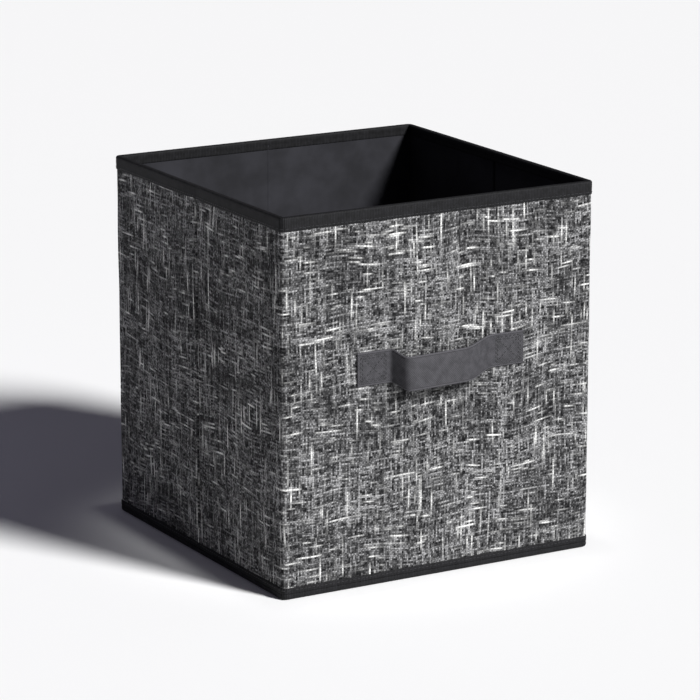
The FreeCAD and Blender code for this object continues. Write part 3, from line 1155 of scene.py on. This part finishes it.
# ------------------------------------------------------------------------------ tape and hem
@dataclass
class Binding:
    """Black tape folded over the rim, and the hem round the foot, each with a row of stitches."""

    outline: Outline
    wardrobe: Wardrobe
    height: float
    wall: float
    thread: Thread = Thread()
    thick: float = 0.5 * MM
    rim_out: float = 1.05 * MM  # how far the tape's and the hem's faces stand out from the wall's
    rim_in: float = 0.55 * MM  # and the tape's inner leaf past the lining
    rim_over: float = 0.15 * MM  # how far it stands above the bin's height
    rim_bend: float = 1.5 * MM
    rim_drop: float = 10 * MM
    rim_inside: float = 8 * MM
    rim_flat: float = 5 * MM  # the straight part of its inner leaf
    rim_seam: float = 8.1 * MM  # its stitches, down from the bin's height
    hem_low: float = 4.3 * MM
    hem_high: float = 8.6 * MM
    hem_seam: float = 6.9 * MM
    hem_thick: float = 0.6 * MM
    grid: float = 2.0 * MM
    waver: float = 0.28 * MM  # how unevenly the tape's edge runs
    puff: float = 0.12 * MM  # how unevenly its face stands
    stray: float = 0.15 * MM  # how unevenly its stitches run
    rim_at: float = 0.0  # the heights that the waves are read at, apart, so that they differ
    hem_at: float = 0.05
    seam_at: float = 0.1
    free: float = 0.12 * MM  # where it ends on each side of a crease
    pinch: float = 0.75 * MM  # how much flatter it is pressed at a crease
    pinch_reach: float = 13 * MM

    def __post_init__(self) -> None:
        """Sets out the unevenness."""
        self.edge_waves = Ripple(self.outline, 31, 60 * MM, 14 * MM)
        self.face_waves = Ripple(self.outline, 32, 30 * MM, 9 * MM)

    def pressed(self, at: Stations) -> np.ndarray:
        """How hard each station is pressed by a crease, from 0 to 1."""
        return np.where(at.creased, fade(at.along, self.pinch_reach), 0.0)[:, None]

    def rim_line(self, at: Stations) -> tuple[np.ndarray, np.ndarray]:
        """The tape's outer face across its width, from its outside edge over to its inside edge.

        Args:
            at: n stations.

        Returns:
            Distances out and heights, each n by k.
        """
        # each leaf is thin at its cut edge and dips a little at its stitches
        leaf = np.array([0.0, 0.25, 0.6, 1.4, 3.0, 5.0, 7.0]) * MM
        rise = np.array([-0.35, -0.08, 0.0, 0.05, -0.12, 0.02, 0.0]) * MM
        turn = np.radians(np.linspace(0, 90, 6))
        turned_in, below = self.rim_bend * (1 - np.cos(turn)), self.rim_bend * (1 - np.sin(turn))
        top, inner_face = self.height + self.rim_over, -self.wall - self.rim_in
        inner_leaf = self.height - self.rim_inside + np.minimum(leaf, self.rim_flat)
        out = np.concatenate([self.rim_out + rise, self.rim_out - turned_in,
                              inner_face + turned_in[::-1], inner_face - rise[::-1]])
        high = np.concatenate([self.height - self.rim_drop + leaf, top - below, top - below[::-1],
                               inner_leaf[::-1]])
        outside = np.linspace(1, 0, len(out)) > 0.6
        puff = self.face_waves.at(at.walk[:, None], self.rim_at) * self.puff
        waver = self.edge_waves.at(at.walk[:, None], self.rim_at) * self.waver
        pressed = self.pressed(at)
        out = out + outside * (puff * (1 - pressed) - self.pinch * pressed)
        return out, high + waver * np.exp(-np.arange(len(high)) / 3.0)

    def rim(self, stretch: Stretch) -> list[bpy.types.Object]:
        """Builds the rim tape of one stretch, and its stitches.

        Args:
            stretch: the stretch.

        Returns:
            The tape and the stitches.
        """
        at = self.outline.stations(stretch.lines(self.free, self.grid))
        line = self.rim_line(at)
        skins = (self.outline.skin(at, *face) for face in (line, inset(*line, self.thick)))
        across = walked(line[0][0], line[1][0])
        tape = sweep(f"{stretch.name}_rim_binding", *skins, at.walk, across)
        return self._sewn(tape, stretch, "rim", self.height - self.rim_seam)

    def hem(self, stretch: Stretch) -> list[bpy.types.Object]:
        """Builds the hem of one stretch, and its stitches.

        Args:
            stretch: the stretch.

        Returns:
            The hem and the stitches.
        """
        at = self.outline.stations(stretch.lines(self.free, self.grid))
        shares = np.array([0.0, 0.08, 0.25, 0.5, 0.75, 0.92, 1.0])
        rise = np.array([-0.3, 0.0, 0.1, 0.02, 0.06, 0.0, -0.3]) * MM
        waver = self.edge_waves.at(at.walk[:, None], self.hem_at) * self.waver
        high = self.hem_low + (self.hem_high - self.hem_low + waver) * shares
        out = self.rim_out + rise - self.pinch * self.pressed(at)
        skins = (self.outline.skin(at, face, high) for face in (out, out - self.hem_thick))
        hem = sweep(f"{stretch.name}_hem", *skins, at.walk, high[0])
        return self._sewn(hem, stretch, "hem", self.hem_seam)

    def _sewn(self, band: bpy.types.Object, stretch: Stretch, edge: str,
              high: float) -> list[bpy.types.Object]:
        """Dresses a tape or hem and sews it down along its stretch.

        Args:
            band: the tape or the hem.
            stretch: its stretch.
            edge: rim or hem, for the name of its stitches.
            high: the stitches' height.

        Returns:
            The band and its stitches.
        """
        self.wardrobe.dress(band, Finish.TAPE)
        stitch, pitch = self.thread.stitch, self.thread.pitch
        first, last = math.ceil(stretch.start / pitch), math.floor(stretch.stop / pitch)
        walk = np.arange(first, last + 1) * pitch
        start, stop = stretch.trimmed(stitch, stitch / 2)
        at = self.outline.stations(walk[(walk > start) & (walk < stop)])
        stray = self.edge_waves.at(at.walk, self.seam_at)[:, None] * self.stray
        face = self.rim_out - self.pinch * self.pressed(at)
        centres = self.outline.skin(at, face, high + stray)[:, 0]
        ups = np.column_stack([at.outward, np.zeros(len(at.walk))])
        ways = np.cross((0.0, 0.0, 1.0), ups)
        seam = self.thread.sew(f"{stretch.name}_{edge}_stitches", centres, ways, ups)
        self.wardrobe.dress(seam, Finish.THREAD, Finish.TAPE)
        return [band, seam]


@dataclass
class CornerWelts:
    """The thin sewn ridge up each inner corner, on the hinge line."""

    outline: Outline
    wardrobe: Wardrobe
    height: float
    wall: float
    radius: float = 0.5 * MM
    stand_in: float = 0.65 * MM  # how far inside the wall's inner face its middle stands
    low: float = 4.4 * MM
    top_gap: float = 5 * MM
    grid: float = 3 * MM
    pucker: float = 0.12  # how much it swells, as a share of its radius
    pucker_pitch: float = 4.2 * MM

    def build(self) -> None:
        """Builds the four ridges."""
        x = self.outline.half_width - self.wall - self.stand_in
        y = self.outline.half_depth - self.wall - self.stand_in
        up = steps(self.low, self.height - self.top_gap, self.grid)
        around = np.arange(8) * math.pi / 4
        swell = 1 + self.pucker * np.sin(up / self.pucker_pitch * 2 * math.pi)
        ring = np.stack([np.cos(around), np.sin(around)], axis=-1) * self.radius
        for name, place in (("front_left", (-x, -y)), ("front_right", (x, -y)),
                            ("back_left", (-x, y)), ("back_right", (x, y))):
            points = stand(place + ring * swell[:, None, None], up[:, None])
            spots = around * self.radius, up[:, None]
            welt = tubes(f"{name}_corner_welt", points[None], spots)
            self.wardrobe.dress(welt, Finish.LINING)
            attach(welt, f"{name.split('_')[0]}_wall")
            LOG.info("%s: corner welt", name)


# ------------------------------------------------------------------------------ base
def plate(name: str, size: tuple[float, float, float, float], soften: float, ripples: Ripple,
          wave: float) -> bpy.types.Object:
    """A flat piece with rounded edges.

    Args:
        name: the object's name.
        size: half its width, half its depth, and its underside's and its top's heights.
        soften: how far in from the edge its faces begin to round.
        ripples: the unevenness of its top.
        wave: how high that stands.

    Returns:
        The new object.
    """
    half_x, half_y, low, high = size
    rim = soften * np.array([0.0, 0.05, 0.18, 0.4, 0.7, 1.0])
    grid, calm = 4 * MM, 8 * MM  # the mesh's spacing, and how far from the edge the waves die

    def lines(half: float) -> np.ndarray:
        """The places of the mesh's lines, closer together at both edges."""
        return np.concatenate([-half + rim, steps(-half + grid, half - grid, grid),
                               (half - rim)[::-1]])

    x, y = np.meshgrid(lines(half_x), lines(half_y), indexing="ij")
    from_edge = np.minimum(half_x - np.abs(x), half_y - np.abs(y))
    rounded = np.sqrt(1 - (1 - np.clip(from_edge / soften, 0, 1)) ** 2)
    middle, half = (low + high) / 2, (high - low) / 2
    top = middle + half * rounded + wave * ripples.at(x, y) * np.clip(from_edge / calm, 0, 1)
    skins = (np.stack([x, y, z], axis=-1) for z in (top, middle - half * rounded))
    return sweep(name, *skins, x[:, 0], y[0])


@dataclass
class BaseTray:
    """The soft base: a cloth floor and the rolled edge that joins it to the hem."""

    outline: Outline
    wardrobe: Wardrobe
    floor_in: float = 2.2 * MM  # how far inside the wall's face the floor ends
    floor_low: float = 0.02 * MM
    thick: float = 0.8 * MM
    soften: float = 0.5 * MM
    wave: float = 0.05 * MM
    lap: float = 3.4 * MM  # how far in under the wall's face the rolled edge begins
    bend: float = 1.8 * MM
    bend_in: float = 0.8 * MM  # and its bend
    edge_out: float = 1.05 * MM  # how far out it is widest
    edge_low: float = 3.4 * MM  # how high up it draws in
    lip_out: float = 0.9 * MM
    lip: float = 4.2 * MM  # and ends
    edge_thick: float = 0.6 * MM
    edge_grid: float = 1.6 * MM
    slit: float = 0.4 * MM  # where the edge ends on each side of the open corner
    folded_depth: float = 25.1 * MM  # what is left between the front's and the back's outer faces

    def build(self) -> list[bpy.types.Object]:
        """Builds the floor and the edge; both ride on the front wall.

        Returns:
            The two pieces.
        """
        ripples = Ripple(self.outline, 41, 90 * MM, 25 * MM)
        half_depth = self.outline.half_depth
        size = (self.outline.half_width - self.floor_in, half_depth - self.floor_in,
                self.floor_low, self.thick)
        floor = plate("base_cloth_floor", size, self.soften, ripples, self.wave)
        self.wardrobe.dress(floor, Finish.LINING)
        edge = self._edge()
        self.wardrobe.dress(edge, Finish.TAPE)
        for piece in (floor, edge):
            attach(piece, "front_wall")
            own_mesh(piece)
        return [floor, edge]

    def _edge(self) -> bpy.types.Object:
        """The rolled edge: a strip that turns from the floor up to the hem."""
        walk = steps(self.slit, self.outline.length - self.slit, self.edge_grid)
        at = self.outline.stations(walk)
        turn = np.radians(np.linspace(0, 90, 7))
        rolled, risen = self.bend * np.sin(turn) - self.bend_in, self.bend * (1 - np.cos(turn))
        out = np.array([-self.lap, *rolled, self.edge_out, self.lip_out])
        high = np.array([0.0, *risen, self.edge_low, self.lip])
        inner_out, inner_high = inset(out, high, self.edge_thick)
        inner_high[-1] = high[-1]
        skins = (self.outline.skin(at, np.tile(line, (len(walk), 1)), up)
                 for line, up in ((out, high), (inner_out, inner_high)))
        return sweep("base_rolled_edge", *skins, walk, walked(out, high))


@dataclass
class BaseInsert:
    """The loose base insert: a board in a sewn cloth sleeve, with a seam round its edge."""

    wardrobe: Wardrobe
    wrap: float = 0.3 * MM  # how far the sleeve stands out past the board's edge
    soften: float = 0.8 * MM
    wave: float = 0.12 * MM
    seam_in: float = 5 * MM
    seam_up: float = 0.02 * MM
    thread: Thread = Thread(3.0 * MM, 4.2 * MM, 0.4 * MM)

    def build(self) -> list[bpy.types.Object]:
        """Builds the sleeve and its seam.

        Returns:
            The two pieces.
        """
        low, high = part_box("insert_underside_cloth")[0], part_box("insert_top_cloth")[1]
        outline = Outline(high.x + self.wrap, high.y + self.wrap)
        ripples = Ripple(outline, 51, 120 * MM, 30 * MM)
        sleeve = plate("insert_sleeve", (outline.half_width, outline.half_depth, low.z, high.z),
                       self.soften, ripples, self.wave)
        self.wardrobe.dress(sleeve, Finish.LINING)
        centres, ways = [], []
        for side in (Side.FRONT, Side.BACK, Side.LEFT, Side.RIGHT):
            far = outline.half_across(side) - self.seam_in
            reach = outline.half_length(side) - self.seam_in
            for along in np.arange(-reach, reach, self.thread.pitch):
                flat = side.outward * far + side.heading * along
                centres.append((*flat, high.z + self.seam_up))
                ways.append((*side.heading, 0.0))
        ups = np.tile((0.0, 0.0, 1.0), (len(centres), 1))
        seam = self.thread.sew("insert_seam", np.array(centres), np.array(ways), ups)
        self.wardrobe.dress(seam, Finish.THREAD, Finish.LINING)
        for piece in (sleeve, seam):
            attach(piece, "base_insert")
        return [sleeve, seam]


# ------------------------------------------------------------------------------ handles
def rounded(corners: list[tuple[float, float]], bends: tuple[float, ...]) -> np.ndarray:
    """A line through corners, each but the first and the last rounded.

    Args:
        corners: the corners' places.
        bends: the radius of each corner between the first and the last.

    Returns:
        The line's points, n by 2.
    """
    line = [np.array(corners[0])]
    for before, corner, after, bend in zip(corners, corners[1:], corners[2:], bends):
        here = np.array(corner)
        back, on = np.array(before) - here, np.array(after) - here
        back, on = back / np.linalg.norm(back), on / np.linalg.norm(on)
        half = math.acos(np.clip(back @ on, -1, 1)) / 2
        centre = here + (back + on) / np.linalg.norm(back + on) * bend / math.sin(half)
        first, last = (here + way * bend / math.tan(half) - centre for way in (back, on))
        turned = math.pi - 2 * half
        for angle in np.linspace(0, turned, 9):
            near = math.sin(turned - angle) * first + math.sin(angle) * last
            line.append(centre + near / math.sin(turned))
    return np.array([*line, np.array(corners[-1])])


@dataclass
class Handle:
    """A webbing strap, sewn down at both ends and bowed out between them."""

    outline: Outline
    wardrobe: Wardrobe
    side: Side  # the front or the back
    thread: Thread = Thread(2.6 * MM, 3.1 * MM, 0.75 * MM)
    width: float = 25 * MM
    thick: float = 1.5 * MM
    span: float = 84 * MM  # between the sewn tabs
    tab: float = 28 * MM
    bow: float = 15 * MM
    steep: float = math.radians(66)  # how sharply it leaves the wall at its left
    gentle: float = math.radians(28)  # and at its right
    centre: float = 163 * MM
    sag: float = 3.6 * MM  # how far the bowed part hangs below its tabs
    sag_tilt: float = 0.25  # how much more of that is at its steep end
    lean: float = math.radians(7)  # how far its lower edge kicks out
    sewn_out: float = 0.75 * MM  # the tab's hidden face stands this far off the wall's face
    uneven: float = 0.2 * MM
    grid: float = 1.2 * MM
    bends: tuple[float, ...] = (3.4 * MM, 4.4 * MM, 22 * MM, 16 * MM)  # from its left to its right
    bends_from: float = 2.4 * MM  # it bends between the wall and the grip from this far out
    bends_to: float = 9 * MM
    seam_side: float = 3 * MM  # the stitched box's distance from the strap's long edges
    seam_near: float = 4.5 * MM  # from where the strap leaves the wall
    seam_far: float = 2.6 * MM  # and from its end
    seam_gap: float = 1.6 * MM  # between the outer and the inner box
    seam_sunk: float = 0.06 * MM

    def build(self) -> list[bpy.types.Object]:
        """Builds the strap and the stitching on its tabs.

        Returns:
            The two pieces.
        """
        strap, seams = self._strap(), self._seams()
        self.wardrobe.dress(strap, Finish.STRAP)
        self.wardrobe.dress(seams, Finish.THREAD, Finish.STRAP)
        wall, grip = f"{self.side.label}_wall", f"{self.side.label}_handle"
        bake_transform(strap)
        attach(seams, wall)
        return [strap, seams]

    def _turned(self, points: np.ndarray) -> np.ndarray:
        """The points as they are for the front, or half a turn round for the back."""
        return points if self.side == Side.FRONT else points * np.array([-1.0, -1.0, 1.0])

    def _path(self) -> tuple[np.ndarray, np.ndarray, np.ndarray]:
        """The middle of the strap seen from above.

        Returns:
            Its points, as places along the wall and distances out; the way the strap's outer face
            looks at each; and the distance walked to each.
        """
        base, crown = self.sewn_out + self.thick / 2, self.bow + self.thick / 2
        root, end = self.span / 2, self.span / 2 + self.tab
        left = -root + (crown - base) / math.tan(self.steep)
        right = root - (crown - base) / math.tan(self.gentle)
        corners = [(-end, base), (-root, base), (left, crown), (right, crown), (root, base),
                   (end, base)]
        line = rounded(corners, self.bends)
        distance = walked(*line.T)
        even = steps(0, distance[-1], self.grid)
        path = np.column_stack([np.interp(even, distance, part) for part in line.T])
        way = np.gradient(path, even, axis=0)
        way /= np.linalg.norm(way, axis=1)[:, None]
        return path, np.column_stack([-way[:, 1], way[:, 0]]), even

    def _strap(self) -> bpy.types.Object:
        """The strap's mesh, with thicker woven edges."""
        path, facing, even = self._path()
        # across the strap: each edge is round, then comes a firm selvedge and a shallow groove
        shares = np.array([0.0, 0.015, 0.05, 0.1, 0.14, 0.2, 0.6, 1.0])
        puffs = np.array([0.25, 0.75, 1.05, 1.05, 0.88, 1.0, 1.0, 1.0])
        across = np.concatenate([shares - 1, (1 - shares)[-2::-1]]) * self.width / 2
        half = np.concatenate([puffs, puffs[-2::-1]]) * self.thick / 2
        bowed = np.clip((path[:, 1] - self.sewn_out - self.thick / 2) / self.bow, 0, 1)
        soft = ease(bowed)[:, None]
        waves = Ripple(self.outline, 61, 50 * MM, 18 * MM).at(even[:, None], across)
        tilt = self.sag_tilt * np.clip(path[:, 0] / (self.span / 2), -1, 1)
        droop = self.sag * soft * (1 - tilt[:, None])
        lean, (way_x, way_out) = self.lean * soft, facing.T[..., None]
        skins = []
        for sign in (1, -1):
            off = sign * half + self.uneven * waves * soft
            x = path[:, :1] + way_x * off
            out = path[:, 1:] + way_out * off * np.cos(lean) - np.sin(lean) * across
            high = self.centre - droop + across * np.cos(lean) + np.sin(lean) * off * way_out
            skins.append(self._turned(np.stack([x, -self.outline.half_depth - out, high], axis=-1)))
        return sweep(f"{self.side.label}_strap", *skins, even, across)

    def _seams(self) -> bpy.types.Object:
        """The stitches on both tabs: a double box with a cross in it."""
        out = -self.outline.half_depth - self.sewn_out - self.thick + self.seam_sunk
        reach = self.width / 2 - self.seam_side
        centres, ways = [], []
        for sign in (-1, 1):
            near = self.span / 2 + self.seam_near
            far = self.span / 2 + self.tab - self.seam_far
            runs = []
            for gap in (0.0, self.seam_gap):
                low, high = self.centre - reach + gap, self.centre + reach - gap
                box = [(sign * x, z) for x, z in ((near + gap, low), (far - gap, low),
                                                  (far - gap, high), (near + gap, high))]
                runs += [(box[i], box[(i + 1) % 4]) for i in range(4)]
                if not gap:
                    crossed = [(box[0], box[2]), (box[1], box[3])]
            for start, stop in np.array(runs + crossed):
                run = stop - start
                length = np.linalg.norm(run)
                count = max(1, int(length // self.thread.pitch))
                for share in (np.arange(count) + 0.5) / count:
                    x, z = start + run * share
                    centres.append((x, out, z))
                    ways.append((run[0] / length, 0.0, run[1] / length))
        lines = np.array(centres), np.array(ways), np.tile((0.0, -1.0, 0.0), (len(centres), 1))
        return self.thread.sew(f"{self.side.label}_strap_stitches", *map(self._turned, lines))


# ------------------------------------------------------------------------------ the bin
class StorageBin:
    """The whole bin, built from its pieces."""

    def __init__(self) -> None:
        """Reads the bin's size from the frame."""
        half_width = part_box("right_front_cover")[1].x
        half_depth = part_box("back_cover")[1].y
        self.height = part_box("front_rim_tape")[1].z
        self.wall = half_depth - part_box("back_lining")[0].y
        self.outline = Outline(half_width, half_depth)
        self.wardrobe = Wardrobe()
        self.plan = WallPlan(self.outline)

    def build(self) -> None:
        """Builds and dresses every piece, and logs each."""
        self._walls()
        self._linings()
        CornerWelts(self.outline, self.wardrobe, self.height, self.wall).build()
        self._base()
        for side in (Side.FRONT, Side.BACK):
            pieces = Handle(self.outline, self.wardrobe, side).build()
            parts = ("left_end", "grip", "right_end")
            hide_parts(*(f"{side.label}_handle_{part}" for part in parts))
            LOG.info("%s handle: %d pieces", side.label, len(pieces))
        self._boards()

    def _walls(self) -> None:
        """The cover, rim tape and hem of every stretch of wall."""
        cover = Cover(self.outline, self.wardrobe, self.height)
        binding = Binding(self.outline, self.wardrobe, self.height, self.wall)
        for sewn_to, crease in self.plan.creases().items():
            fold = cover.soft_fold(crease)
            crease.follow(fold, self.outline)
            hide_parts(f"{crease.name}_cloth")
            LOG.info("%s: soft fold", crease.name)
        for stretch in self.plan.stretches():
            cloth = cover.build(stretch)
            rim, hem = binding.rim(stretch), binding.hem(stretch)
            for piece in (cloth, *rim, *hem):
                stretch.follow(piece, self.outline)
            if len(stretch.bodies) == 2:
                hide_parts(f"{stretch.name}_cloth")
            else:
                # the back's cloth runs on round the right rear corner
                corner = ["back_right_corner_cloth"] if stretch.name == Side.BACK.label else []
                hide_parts(f"{stretch.name}_cover", *corner)
                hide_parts(f"{stretch.name}_rim_tape")
            stretch.length
            LOG.info("%s: cover, rim tape and hem, %.0f mm long", stretch.name, stretch.length / MM)

    def _linings(self) -> None:
        """The lining of each wall, in halves on the sides."""
        lining = Lining(self.outline, self.wardrobe, self.height, self.wall)
        long_end = self.outline.half_width - self.wall - 0.05 * MM
        side_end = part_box("right_rear_board")[1].y
        whole, before, after = (-long_end, long_end), (-side_end, 0.0), (0.0, side_end)
        stretches = {stretch.name: stretch for stretch in self.plan.stretches()}
        for name, side, ends in (
            ("front", Side.FRONT, whole), ("back", Side.BACK, whole),
            ("left_rear", Side.LEFT, before), ("left_front", Side.LEFT, after),
            ("right_front", Side.RIGHT, before), ("right_rear", Side.RIGHT, after),
        ):
            piece = lining.build(stretches[name], side, ends)
            stretches[name].follow(piece, self.outline)
            extra = [f"{side.label}_crease_lining"] if name.endswith("_front") else []
            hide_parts(f"{name}_lining", *extra)
            LOG.info("%s: lining", name)

    def _base(self) -> None:
        """The soft base, and the insert that lies on it."""
        floor, edge = BaseTray(self.outline, self.wardrobe).build()
        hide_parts("base_cloth", "base_hem")
        sleeve, seam = BaseInsert(self.wardrobe).build()
        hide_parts("insert_top_cloth", "insert_underside_cloth")
        LOG.info("base: floor and rolled edge; insert: sleeve and seam")

    def _boards(self) -> None:
        """Dresses the boards inside the cloth, which stay as the frame gives them."""
        board = self.wardrobe.materials[Finish.BOARD]
        for item in bpy.context.scene.objects:
            if item.type == "MESH" and "board" in item.name:
                item.data.materials.clear()
                item.data.materials.append(board)
                LOG.info("%s: greyboard", item.name)


# ------------------------------------------------------------------------------ the studio
class LampKind(Enum):
    """The kinds of lamp, by Blender's names."""

    SUN = "SUN"
    DISK = "AREA"
    SPOT = "SPOT"


@dataclass(frozen=True)
class Lamp:
    """One soft lamp: where it stands from the bin's middle, and its settings."""

    name: str
    kind: LampKind
    azimuth: float
    elevation: float
    distance: float
    settings: dict[str, object]


@dataclass(frozen=True)
class Studio:
    """The floor, the lights and the camera."""

    aim: Vector
    air: float = 0.06
    air_tint: str = "ece8ff"
    azimuth: float = -30
    elevation: float = 14.3
    distance: float = 2.7
    lens: float = 184
    sensor: float = 36

    @property
    def lamps(self) -> tuple[Lamp, ...]:
        """A broad key light, a faint fill behind, and a snooted lamp that lights the inside."""
        return (
            Lamp("key", LampKind.SUN, 24, 34, 3.0, {"energy": 5.7, "angle": math.radians(12)}),
            Lamp("fill", LampKind.DISK, -134, 14, 0.7,
                 {"energy": 0.15, "shape": "DISK", "size": 0.5, "color": linear("dedaff")[:3]}),
            Lamp("top", LampKind.SPOT, 0, 90, 1.4,
                 {"energy": 40, "spot_size": math.radians(13.5), "spot_blend": 0.7,
                  "shadow_soft_size": 0.08}),
        )

    def build(self) -> None:
        """Sets up the studio."""
        scene = bpy.context.scene
        scene.view_settings.view_transform = "Standard"
        bpy.ops.mesh.primitive_plane_add(size=40, location=(0, 0, -0.2 * MM))
        floor = bpy.context.object
        floor.name = "studio_floor"
        floor.data.materials.append(StudioPaper().material())
        for lamp in self.lamps:
            light = bpy.data.lights.new(lamp.name, lamp.kind.value)
            for setting, value in lamp.settings.items():
                setattr(light, setting, value)
            self._stand(light, lamp.azimuth, lamp.elevation, lamp.distance)
        scene.world = scene.world or bpy.data.worlds.new("studio_air")
        scene.world.use_nodes = True
        air = scene.world.node_tree.nodes["Background"]
        air.inputs["Color"].default_value = linear(self.air_tint)
        air.inputs["Strength"].default_value = self.air
        camera = bpy.data.cameras.new("main_camera")
        camera.lens, camera.sensor_width = self.lens, self.sensor
        scene.camera = self._stand(camera, self.azimuth, self.elevation, self.distance)

    def _stand(self, data: bpy.types.ID, azimuth: float, elevation: float,
               distance: float) -> bpy.types.Object:
        """Stands a lamp or the camera round the bin, looking at it.

        Args:
            data: the lamp or the camera.
            azimuth: its direction in degrees, from the front towards the right.
            elevation: its height in degrees.
            distance: its distance from the aim.

        Returns:
            The object, in the scene.
        """
        turn, rise = math.radians(azimuth), math.radians(elevation)
        way = Vector((math.sin(turn) * math.cos(rise), -math.cos(turn) * math.cos(rise),
                      math.sin(rise)))
        place = self.aim + way * distance
        item = bpy.data.objects.new(data.name, data)
        item.location = place
        item.rotation_euler = (self.aim - place).to_track_quat("-Z", "Y").to_euler()
        bpy.context.scene.collection.objects.link(item)
        return item


def main() -> None:
    """Builds the bin in order, then the studio."""
    logging.basicConfig(level=logging.INFO, format="%(message)s")
    storage_bin = StorageBin()
    storage_bin.build()
    Studio(Vector((0.0, 0.0, storage_bin.height / 2))).build()


if __name__ == "__main__":
    main()
